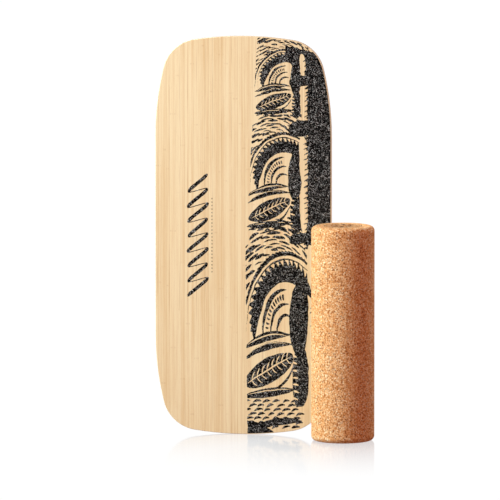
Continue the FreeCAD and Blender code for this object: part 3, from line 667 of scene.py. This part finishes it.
def add_print(name, xs, zs, depth, whole, rise, coarse, seed):
    """Raised grit wherever depth is positive, as a closed mesh that lies on the deck's face.

    Its edge is thin, and it rises to its full, uneven height a grain or two further in. Whole is
    the depth before the print was cut into pieces: along a cut it keeps its height.
    """
    places, faces, own = contour(xs, zs, depth)
    depths = sample(xs, zs, whole, places)
    depths = np.where((own > 0) | (depths > CUT_DEPTH), np.maximum(depths, own), 0)
    rough = value_noise(places[:, 0], places[:, 1], coarse, seed)
    rough += 0.7 * value_noise(places[:, 0], places[:, 1], 0.53 * coarse, seed + 1)
    height = np.clip(EDGE_SLOPE * depths, 0, rise) * (1 - UNEVEN + UNEVEN * np.clip(rough, -1, 1))
    ground = FACE_Y - GROUND
    top = np.column_stack((places[:, 0], ground - height, places[:, 1]))
    deep = depths > 0
    bottom_index = np.arange(len(places))
    bottom_index[deep] = len(places) + np.arange(deep.sum())
    bottom = top[deep].copy()
    bottom[:, Y] = ground
    under = bottom_index[faces][:, ::-1]
    # Walls along the cuts: the edges that only one of the upper faces has
    edges = np.concatenate([faces[:, [k, (k + 1) % 3]] for k in range(3)]).astype(np.int64)
    codes, back = edges @ (len(places), 1), edges @ (1, len(places))
    a, b = edges[~np.isin(codes, back)].T
    walls = np.concatenate((np.column_stack((b, a, bottom_index[a]))[deep[a]],
                            np.column_stack((b, bottom_index[a], bottom_index[b]))[deep[b]]))
    smooth = np.ones(2 * len(faces) + len(walls), bool)
    smooth[2 * len(faces):] = False
    return add_object(name, np.concatenate((top, bottom)), np.concatenate((faces, under, walls)), smooth)


def deck_outline():
    """Straight steps round the grip field's outline, as places across and along."""
    places = [Vector((v.co[X], v.co[Z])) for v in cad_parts["grip_field"].data.vertices]
    return [places[k] for k in geometry.convex_hull_2d(places)]


def trim(depth, xs, zs, outline):
    """Cut a print off at a convex outline, whichever way round it runs."""
    x, z = np.meshgrid(xs, zs, indexing="ij")
    sides = list(zip(outline, outline[1:] + outline[:1]))
    area = sum(a[0] * b[1] - b[0] * a[1] for a, b in sides)
    turn = 1 if area > 0 else -1
    for a, b in sides:
        if math.dist(a, b) > 0.1 * MM:
            depth = np.minimum(depth, turn * left_of(x, z, a, b))
    return depth


# Where the print is cut into pieces, from the deck's middle: once across it, twice along it
BAND_CUT, LOW_CUT, HIGH_CUT = 0.136, -0.010, 0.226


def make_grip_print():
    """The whole print in four pieces: the band along the edge, and one for each motif."""
    low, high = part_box("grip_field")
    xs = np.arange(low[X] - PRINT_CELL, high[X] + PRINT_CELL, PRINT_CELL)
    zs = np.arange(low[Z] - PRINT_CELL, high[Z] + PRINT_CELL, PRINT_CELL)
    # Small spots are worn off, where a fine noise comes close to 1
    noise = value_noise(*np.meshgrid(xs, zs, indexing="ij"), 2.1 * MM, 21)
    depth = np.minimum(grip_pattern(xs - DECK_X, zs - DECK_Z), 3 * MM * (0.93 - noise))
    depth = trim(depth, xs, zs, deck_outline())
    column = np.searchsorted(xs, DECK_X + BAND_CUT)
    low_cut, high_cut = np.searchsorted(zs, (DECK_Z + LOW_CUT, DECK_Z + HIGH_CUT))
    last_column, last_row = len(xs) - 1, len(zs) - 1
    pieces = []
    for name, left, right, bottom, top in (("grit_band", column, last_column, 0, last_row),
                                           ("grit_upper", 0, column, high_cut, last_row),
                                           ("grit_middle", 0, column, low_cut, high_cut),
                                           ("grit_lower", 0, column, 0, low_cut)):
        across, along = slice(left, right + 1), slice(bottom, top + 1)
        whole = depth[across, along]
        part = whole.copy()
        part[[0, -1]] = np.minimum(part[[0, -1]], 0)
        part[:, [0, -1]] = np.minimum(part[:, [0, -1]], 0)
        pieces.append(add_print(name, xs[across], zs[along], part, whole, GRIT_RISE, 1.1 * MM, 5))
    return pieces


# The ornament's crescents: how many, how far apart along the deck, how far each reaches to either
# side, and how much it rises on its way
CRESCENTS, CRESCENT_PITCH, CRESCENT_REACH, CRESCENT_SLANT = 8, 30 * MM, 18.9 * MM, 0.56
# The brush's half width on the joining strokes and on the crescents, and the print's cells
BRUSH_THIN, BRUSH_THICK, BRUSH_CELL = 0.9 * MM, 3.5 * MM, 0.5 * MM
# The brush starts and stops this share of a turn beyond the outer crescents' middles, and lifts off
# over the last of it
BRUSH_LEAD, BRUSH_LIFT, BRUSH_STEPS = 0.30, 0.14, 960


def brush_route():
    """The brush's places across and along, from the ornament's middle, and its half width there."""
    middle = (CRESCENTS - 1) / 2
    # At each whole turn the brush crosses its middle line, going right on a crescent
    turns = np.linspace(-BRUSH_LEAD, CRESCENTS - 1 + BRUSH_LEAD, BRUSH_STEPS)
    phase = 2 * math.pi * turns
    lifted = np.clip((middle + BRUSH_LEAD - np.abs(turns - middle)) / BRUSH_LIFT, 0, 1)
    thickness = np.clip(1.6 * np.cos(phase), -1, 1)
    widths = (BRUSH_THICK + BRUSH_THIN + (BRUSH_THICK - BRUSH_THIN) * thickness) / 2 * np.sqrt(lifted)
    across = (CRESCENT_REACH + 1.0 * MM * np.cos(0.37 * phase)) * np.sin(phase)
    along = CRESCENT_SLANT * across + (turns - middle) * CRESCENT_PITCH
    return across, along, widths


def make_ornament():
    """The slanted crescents, joined by thin strokes into one brushed wave."""
    low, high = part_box("grip_ornament")
    xs, zs = np.arange(low[X], high[X], BRUSH_CELL), np.arange(low[Z], high[Z], BRUSH_CELL)
    heights = zs - (low[Z] + high[Z]) / 2
    x, z = np.meshgrid(xs - (low[X] + high[X]) / 2, heights, indexing="ij")
    x += 0.35 * MM * value_noise(x, z, 3.5 * MM, 31)
    depth = np.full(x.shape, BARE)
    for across, along, width in zip(*brush_route()):
        reach = 2 * width + BRUSH_CELL
        rows = slice(*np.searchsorted(heights, (along - reach, along + reach)))
        away = np.hypot(x[:, rows] - across, z[:, rows] - along)
        depth[:, rows] = np.maximum(depth[:, rows], width - away)
    depth = np.maximum(depth, -BRUSH_CELL)
    return add_print("grit_ornament", xs, zs, depth, depth, GRIT_RISE, 0.8 * MM, 9)


DASHES, DASH_LENGTH, DASH_RISE, DASH_CELL = 22, 3.2 * MM, 0.22 * MM, 0.2 * MM


def make_dashes():
    """The fine row of dashes, each a little pillow with rounded ends."""
    low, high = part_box("grip_dash_row")
    xs = np.arange(low[X] - DASH_CELL, high[X] + 2 * DASH_CELL, DASH_CELL)
    zs = np.arange(low[Z] - DASH_CELL, high[Z] + 2 * DASH_CELL, DASH_CELL)
    x, z = np.meshgrid(xs, zs, indexing="ij")
    half_width = (high[X] - low[X]) / 2
    pitch = (high[Z] - low[Z] - DASH_LENGTH) / (DASHES - 1)
    along = (z - low[Z] - DASH_LENGTH / 2 + pitch / 2) % pitch - pitch / 2
    beyond = np.maximum(np.abs(along) - (DASH_LENGTH / 2 - half_width), 0)
    # A little narrower than the CAD's dashes, with an uneven edge
    depth = half_width - np.hypot(x - (low[X] + high[X]) / 2, beyond) - 0.08 * MM
    depth += 0.12 * MM * value_noise(x, z, 0.9 * MM, 4)
    return add_print("grit_dashes", xs, zs, depth, depth, DASH_RISE, 0.6 * MM, 13)


# ---------------------------------------------------------------- The cork roller

# How many steps the roller's mesh has round it, along its wall, and over its head, foot and rims
ROUND_STEPS, WALL_STEPS, HEAD_STEPS, FOOT_STEPS, RIM_STEPS = 264, 236, 66, 18, 7
RIM = 10 * MM
RING_RADIUS, RING_HALF, STAMP_DEPTH, STAMP_WALL = 37.5 * MM, 1.1 * MM, 0.8 * MM, 0.9 * MM
PETALS, PETAL_START, PETAL_END, PETAL_SAG = 8, 7 * MM, 27 * MM, 5 * MM
# How far the hot stamp has browned the cork between its lines, from 0 to 1
SINGED = 0.28
# The pits' greatest depth, and how uneven the sanded cork is between them
PIT_DEPTH, SANDING = 0.55 * MM, 0.10 * MM
# Two kinds of pits: the cells that may hold one, a seed, the share of cells that do, the largest
# radius, and the depth as a share
PITS = ((6.5 * MM, 3, 0.45, 2.0 * MM, 1.0), (4.2 * MM, 17, 0.40, 1.5 * MM, 0.8))


def pits(places, cell, seed, share, size):
    """How deep each place lies in a random round pit, from 0 to 1. Only a share of cells has one."""
    base = np.floor(places / cell).astype(np.int64)
    deepest = np.zeros(len(places))
    for step in np.ndindex(3, 3, 3):
        box = base + np.array(step) - 1
        i, j, k = box.T
        code = i * 31 + j * 57 + k * 113
        random = [(lattice(code, j - k, seed + n) + 1) / 2 for n in range(5)]
        middle = (box + np.column_stack(random[:3])) * cell
        radius = size * (0.45 + 0.55 * random[3])
        hole = 1 - (np.linalg.norm(places - middle, axis=1) / radius) ** 2
        deepest = np.maximum(deepest, np.where(random[4] < share, hole, 0))
    return np.clip(deepest, 0, 1)


def stamp(x, y):
    """How deep a place on the roller's head lies in the stamped ring and petals, from 0 to 1."""
    radius, turn = np.hypot(x, y), np.arctan2(y, x)
    # Full depth in the middle of the ring, and none beyond its half width
    ring = 1.6 - np.abs(radius - RING_RADIUS) / (0.62 * RING_HALF)
    sector = 2 * math.pi / PETALS
    turn = (turn + sector / 2) % sector - sector / 2
    half = (PETAL_END - PETAL_START) / 2
    along = (radius * np.cos(turn) - PETAL_START - half) / half
    side = PETAL_SAG * np.clip(1 - along**2, 0, None) - np.abs(radius * np.sin(turn))
    petal = np.where(np.abs(along) < 1, side / STAMP_WALL, 0)
    return np.clip(np.maximum(ring, petal), 0, 1)


def roller_profile():
    """The roller's outline from foot to head, as one radius and one height for each ring of places."""
    inner, shoulder = ROLLER_RADIUS - RIM, ROLLER_LENGTH - RIM
    quarter = np.linspace(0, math.pi / 2, RIM_STEPS + 1)[1:]
    foot = np.linspace(0, inner, FOOT_STEPS + 1)[1:]
    wall = np.linspace(RIM, shoulder, WALL_STEPS + 1)[1:]
    head = np.linspace(inner, 0, HEAD_STEPS + 1)[1:-1]
    radius = np.concatenate((foot, inner + RIM * np.sin(quarter), np.full(WALL_STEPS, ROLLER_RADIUS),
                             inner + RIM * np.cos(quarter), head))
    height = np.concatenate((np.zeros(FOOT_STEPS), RIM - RIM * np.cos(quarter), wall,
                             shoulder + RIM * np.sin(quarter), np.full(len(head), ROLLER_LENGTH)))
    return radius, height


def way_out(places):
    """The way out of the roller's solid at each place."""
    flat = np.hypot(places[:, X], places[:, Y])
    core = places.copy()
    core[:, :Z] *= (np.minimum(flat, ROLLER_RADIUS - RIM) / np.maximum(flat, 1e-9))[:, None]
    core[:, Z] = np.clip(core[:, Z], RIM, ROLLER_LENGTH - RIM)
    out = places - core
    return out / np.linalg.norm(out, axis=1)[:, None]


def ring_faces(rings):
    """Triangles between rings of places, and a fan over each end round one of the last two places."""
    here = np.arange(ROUND_STEPS)
    after = (here + 1) % ROUND_STEPS
    starts = np.arange(rings - 1)[:, None] * ROUND_STEPS
    low, right = (starts + here).ravel(), (starts + after).ravel()
    last = (rings - 1) * ROUND_STEPS
    foot, head = (np.full(ROUND_STEPS, rings * ROUND_STEPS + k) for k in range(2))
    return np.concatenate((np.column_stack((low, right, right + ROUND_STEPS)),
                           np.column_stack((low, right + ROUND_STEPS, low + ROUND_STEPS)),
                           np.column_stack((after, here, foot)),
                           np.column_stack((last + here, last + after, head))))


def make_roller():
    """The roller as one closed mesh: pitted wall, rounded rims, and the stamp in its head."""
    radius, height = roller_profile()
    turn = np.arange(ROUND_STEPS) / ROUND_STEPS * 2 * math.pi
    rings = np.column_stack((np.outer(radius, np.cos(turn)).ravel(),
                             np.outer(radius, np.sin(turn)).ravel(), np.repeat(height, ROUND_STEPS)))
    places = np.concatenate((rings, [(0, 0, 0), (0, 0, ROLLER_LENGTH)]))
    x, y, z = places.T
    flat = np.hypot(x, y)
    pit = np.max([share * pits(places, *kind) for *kind, share in PITS], axis=0)
    on_head = z > ROLLER_LENGTH - 0.1 * MM
    pressed = np.where(on_head, stamp(x, y), 0)
    burn = np.maximum(pressed, np.where(on_head & (flat < RING_RADIUS), SINGED, 0))
    uneven = value_noise(np.arctan2(y, x) * ROLLER_RADIUS, z + flat, 2.6 * MM, 8)
    depth = PIT_DEPTH * pit + STAMP_DEPTH * pressed + SANDING * (0.5 + 0.5 * uneven)
    # The foot stays nearly flat, so that the roller stands on all of it
    depth[z < 0.01 * MM] *= 0.3
    places = places - way_out(places) * depth[:, None] + np.array((*ROLLER_AXIS, 0.0))
    roller = add_object("cork_roller", places, ring_faces(len(radius)))
    # The pit layer also darkens the cork's colour in the pits: painted shade
    for name, values in (("pit", pit), ("burn", burn)):
        layer = roller.data.attributes.new(name, "FLOAT", "POINT")
        layer.data.foreach_set("value", values.astype(np.float32))
    return roller


# ---------------------------------------------------------------- Camera, floor and light

CAMERA_AZIMUTH, CAMERA_ELEVATION, CAMERA_DISTANCE = 6.0, 6.8, 20.0
CAMERA_LENS, CAMERA_SENSOR, CAMERA_CLIP = 721.0, 36.0, 50.0
CAMERA_AIM = Vector((DECK_X + 13.4 * MM, FACE_Y, 371.2 * MM))
# Disk lights: azimuth, elevation, distance from their aim, size, power and colour
LIGHTS = {
    "key": (-63, 24, 4.0, 3.0, 284, (0.85, 0.955, 0.96)),
    "front": (0, 35, 4.0, 2.4, 22, (1.0, 0.60, 0.52)),
    "right": (62, 20, 3.0, 1.5, 8, (1.0, 0.46, 0.38)),
    "rear_left": (-150, 35, 3.2, 1.6, 85, (0.93, 0.98, 1.0)),
    "rear_right": (140, 30, 3.2, 1.6, 42, (0.93, 0.97, 1.0)),
}
LIGHT_AIM = Vector((0.0, 0.0, 0.35))
WORLD_SEEN, WORLD_LIGHT = (1.0, 1.0, 1.0, 1.0), (0.27, 0.125, 0.11, 1.0)
FLOOR_HALF, FLOOR_GLOW = 30.0, 1.02
# The floor's reflection beside the feet, as a share, and how far from them it has faded away
REFLECTION, REFLECTION_REACH = 0.90, 0.60


def direction(azimuth, elevation):
    """The way to something seen from the object: 0 degrees is its front, 90 its right side."""
    a, e = math.radians(azimuth), math.radians(elevation)
    return Vector((math.sin(a) * math.cos(e), -math.cos(a) * math.cos(e), math.sin(e)))


def add_camera():
    data = bpy.data.cameras.new("camera")
    data.lens, data.sensor_width, data.clip_end = CAMERA_LENS, CAMERA_SENSOR, CAMERA_CLIP
    camera = bpy.data.objects.new("camera", data)
    way = direction(CAMERA_AZIMUTH, CAMERA_ELEVATION)
    camera.location = CAMERA_AIM + CAMERA_DISTANCE * way
    camera.rotation_euler = way.to_track_quat("Z", "Y").to_euler()
    bpy.context.scene.collection.objects.link(camera)
    bpy.context.scene.camera = camera


def add_light(name, azimuth, elevation, distance, size, power, colour):
    data = bpy.data.lights.new(name, "AREA")
    data.shape, data.size, data.energy, data.color = "DISK", size, power, colour
    light = bpy.data.objects.new(name, data)
    way = direction(azimuth, elevation)
    light.location = LIGHT_AIM + distance * way
    light.rotation_euler = way.to_track_quat("Z", "Y").to_euler()
    bpy.context.scene.collection.objects.link(light)


def add_world():
    """White to the eye and in reflections, but weak and warm as a light."""
    world = bpy.data.worlds.new("studio")
    bpy.context.scene.world = world
    world.use_nodes = True
    nodes, links = world.node_tree.nodes, world.node_tree.links
    path = nodes.new("ShaderNodeLightPath")
    mix = nodes.new("ShaderNodeMixRGB")
    mix.inputs["Color1"].default_value = WORLD_SEEN
    mix.inputs["Color2"].default_value = WORLD_LIGHT
    links.new(path.outputs["Is Diffuse Ray"], mix.inputs["Fac"])
    links.new(mix.outputs["Color"], nodes["Background"].inputs["Color"])


def add_floor():
    """A pale floor, bright as lit paper, with a faint reflection that fades away from the feet."""
    corners = [(x * FLOOR_HALF, y * FLOOR_HALF, 0) for x, y in ((-1, -1), (1, -1), (1, 1), (-1, 1))]
    floor = add_object("floor", corners, [(0, 1, 2, 3)], smooth=False)
    g = Graph("floor_paper")
    x, y, _ = g.split()

    def outside(value, low, high):
        """How far a coordinate lies outside a range."""
        middle, reach = (low + high) / 2, (high - low) / 2
        away = g.math("ABSOLUTE", g.math("SUBTRACT", value, middle))
        return g.math("MAXIMUM", g.math("SUBTRACT", away, reach), 0.0)

    def distance(box, inset):
        """Distance from a footprint whose corners are rounded by an inset."""
        across = outside(x, box[LOW][X] + inset, box[HIGH][X] - inset)
        along = outside(y, box[LOW][Y] + inset, box[HIGH][Y] - inset)
        square = g.math("ADD", g.math("POWER", across, 2.0), g.math("POWER", along, 2.0))
        return g.math("SUBTRACT", g.math("POWER", square, 0.5), inset)

    away = g.math("MINIMUM", distance(DECK, 0.0), distance(ROLLER, ROLLER_RADIUS))
    near = g.math("MAXIMUM", g.math("MULTIPLY_ADD", away, -1 / REFLECTION_REACH, 1.0), 0.0)
    near = g.math("MULTIPLY", g.math("POWER", near, 2.0), REFLECTION)
    fibre = g.noise(4 * MM, 1.0, 3.0)
    glow = g.make("Emission", Color=(1.0, 1.0, 1.0), Strength=FLOOR_GLOW)
    gloss = g.make("BsdfGlossy", Color=(1.0, 1.0, 1.0), Roughness=g.step(fibre, 0.2, 0.8, 0.08, 0.11))
    mix = g.make("MixShader", Fac=g.math("MULTIPLY", g.make("Fresnel", IOR=1.28).outputs[0], near))
    g.links.new(glow.outputs[0], mix.inputs[1])
    g.links.new(gloss.outputs[0], mix.inputs[2])
    g.links.new(mix.outputs[0], g.nodes["Material Output"].inputs["Surface"])
    g.nodes.remove(g.shader)
    floor.data.materials.append(g.material)
    floor.visible_diffuse = False
    floor.visible_shadow = False


bpy.context.scene.view_settings.view_transform = "Standard"
add_camera()
add_world()
add_floor()
for light_name, light_values in LIGHTS.items():
    add_light(light_name, *light_values)

# ---------------------------------------------------------------- Materials of the CAD pieces

# Maple's light and dark tones, where a ply is cut along its fibres and where it is cut across them
MAPLE_ALONG = (0.52, 0.38, 0.24), (0.38, 0.25, 0.135)
MAPLE_ACROSS = (0.36, 0.23, 0.125), (0.23, 0.13, 0.062)


def dress(node, material):
    """Give a CAD piece one material for all its faces."""
    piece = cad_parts[node]
    piece.data.materials.clear()
    piece.data.materials.append(material)


dress("top_ply", bamboo("bamboo_top", 1.0, (0.89, 0.775, 0.49), (0.745, 0.56, 0.295), 0.0))
dress("bottom_ply", bamboo("bamboo_bottom", 31.0, (0.80, 0.61, 0.38), (0.66, 0.47, 0.265), 0.5))
for number in range(1, 6):
    long_way = number % 2 == 1
    tones = MAPLE_ALONG if long_way else MAPLE_ACROSS
    dress(f"core_ply_{number}", maple(f"maple_{number}", 3.0 * number, *tones, long_way))
beech_rail = beech("beech_rail")
rubber_strip = rubber("rubber_strip")
zinc_screw = zinc("zinc_screw")
for level in ("upper", "lower"):
    dress(f"stop_rail_{level}", beech_rail)
    dress(f"bumper_strip_{level}", rubber_strip)
    dress(f"rail_screws_{level}", zinc_screw)
black_grit = grit("black_grit")
cork_body = cork("pressed_cork")


def add_piece(piece, material, body, node):
    """Finish a piece that stands for a CAD node."""
    piece.data.materials.append(material)
    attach(piece, body)
    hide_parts(node)


for piece in make_grip_print():
    add_piece(piece, black_grit, "deck", "grip_field")
add_piece(make_ornament(), black_grit, "deck", "grip_ornament")
add_piece(make_dashes(), black_grit, "deck", "grip_dash_row")
add_piece(make_roller(), cork_body, "roller", "roller_cork")
